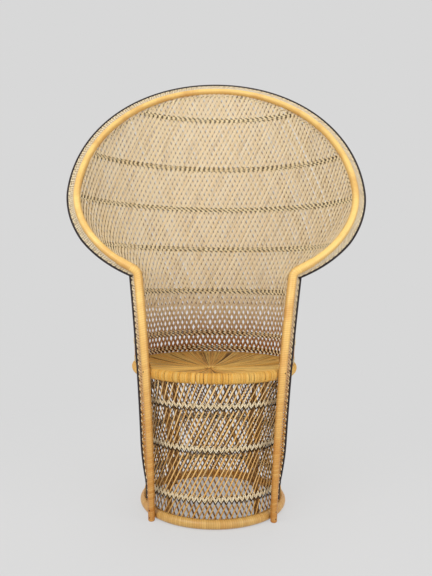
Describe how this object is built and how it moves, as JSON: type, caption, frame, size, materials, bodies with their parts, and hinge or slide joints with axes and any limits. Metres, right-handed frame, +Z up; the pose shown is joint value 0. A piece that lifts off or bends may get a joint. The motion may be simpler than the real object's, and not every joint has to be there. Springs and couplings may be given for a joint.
{
  "type": "peacock chair",
  "caption": "Rattan peacock chair: a woven hourglass drum seat with a tall, round fan back of crossed rods, edged by a flange with a black rim.",
  "frame": {"origin": "on the floor under the middle of the chair's bounding box", "axes": "+Z up, the chair faces -Y, and +X is to the right in a front view"},
  "size_m": [0.9654, 0.6858, 1.4709],
  "materials": {
    "wrapped_cane": "glossy golden cane peel, wound round the poles",
    "seat_peel": "satin peel strips",
    "drum_rod": "satin split cane, brown",
    "back_rod": "satin split cane, pale",
    "twine": "twined strands, dark and natural by turns",
    "black_rod": "satin black stain",
    "bare_pole": "matt brown pole"
  },
  "bodies": {
    "root": {"base_ring": "wrapped_cane", "seat_ring": "bare_pole", "seat_weave": "seat_peel", "seat_rail_cross": "bare_pole", "seat_rail_long": "bare_pole", "drum_post_front_left": "bare_pole", "drum_post_front_right": "bare_pole", "drum_post_rear_left": "bare_pole", "drum_post_rear_right": "bare_pole", "drum_rods": "drum_rod", "drum_band_low_outer": "twine", "drum_band_low_inner": "twine", "drum_band_middle_outer": "twine", "drum_band_middle_inner": "twine", "drum_band_high_outer": "twine", "drum_band_high_inner": "twine", "fan_hoop": "wrapped_cane", "left_upright": "wrapped_cane", "left_shoulder_binding": "wrapped_cane", "left_flange": "back_rod", "left_edge": "black_rod", "right_upright": "wrapped_cane", "right_shoulder_binding": "wrapped_cane", "right_flange": "back_rod", "right_edge": "black_rod", "fan_flange": "back_rod", "fan_edge": "black_rod", "back_rods": "back_rod", "back_band_seat_front": "twine", "back_band_seat_rear": "twine", "back_band_stem_low_front": "twine", "back_band_stem_low_rear": "twine", "back_band_stem_high_front": "twine", "back_band_stem_high_rear": "twine", "back_band_fan_low_front": "twine", "back_band_fan_low_rear": "twine", "back_band_fan_middle_front": "twine", "back_band_fan_middle_rear": "twine", "back_band_fan_upper_front": "twine", "back_band_fan_upper_rear": "twine", "back_band_fan_top_front": "twine", "back_band_fan_top_rear": "twine"}
  },
  "joints": []
}
